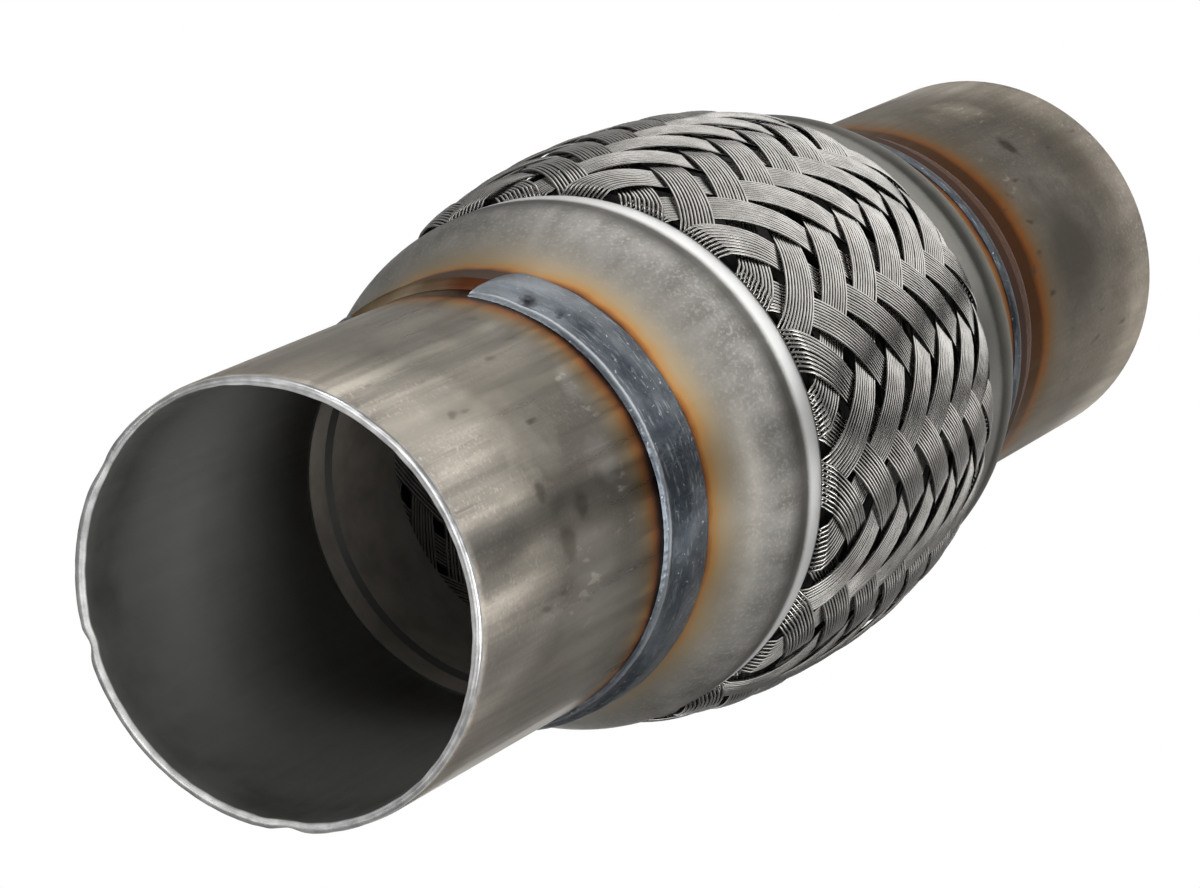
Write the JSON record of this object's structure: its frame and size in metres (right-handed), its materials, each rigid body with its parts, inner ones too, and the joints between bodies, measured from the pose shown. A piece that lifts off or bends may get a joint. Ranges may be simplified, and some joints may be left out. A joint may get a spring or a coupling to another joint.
{
  "type": "exhaust flex pipe",
  "caption": "Flexible exhaust pipe joint: two straight stubs welded to flared end caps that hold a barrel of woven steel wire over a bellows and a woven liner.",
  "frame": {"origin": "centre of the rear stub's end face", "axes": "+Z along the pipe's axis from the rear stub to the front stub; +X towards the side that the picture shows"},
  "size_m": [0.076, 0.076, 0.203],
  "materials": {
    "stub_steel": "satin tube with lengthwise streaks, scratches and heat tint by the weld",
    "cap_steel": "pressed satin sheet with a brighter shoulder",
    "weld_metal": "blue-grey oxidised bead",
    "ring_steel": "dull grey sheet",
    "bellows_steel": "dull thin sheet",
    "braid_wire": "bright drawn wire in flat ribbons",
    "liner_wire": "dull woven wire"
  },
  "bodies": {
    "root": {"front_pipe": "stub_steel", "rear_pipe": "stub_steel", "front_cap": "cap_steel", "rear_cap": "cap_steel", "front_weld": "weld_metal", "rear_weld": "weld_metal", "front_inner_ring": "ring_steel", "rear_inner_ring": "ring_steel", "bellows": "bellows_steel", "outer_braid": "braid_wire", "inner_braid": "liner_wire"}
  },
  "joints": []
}
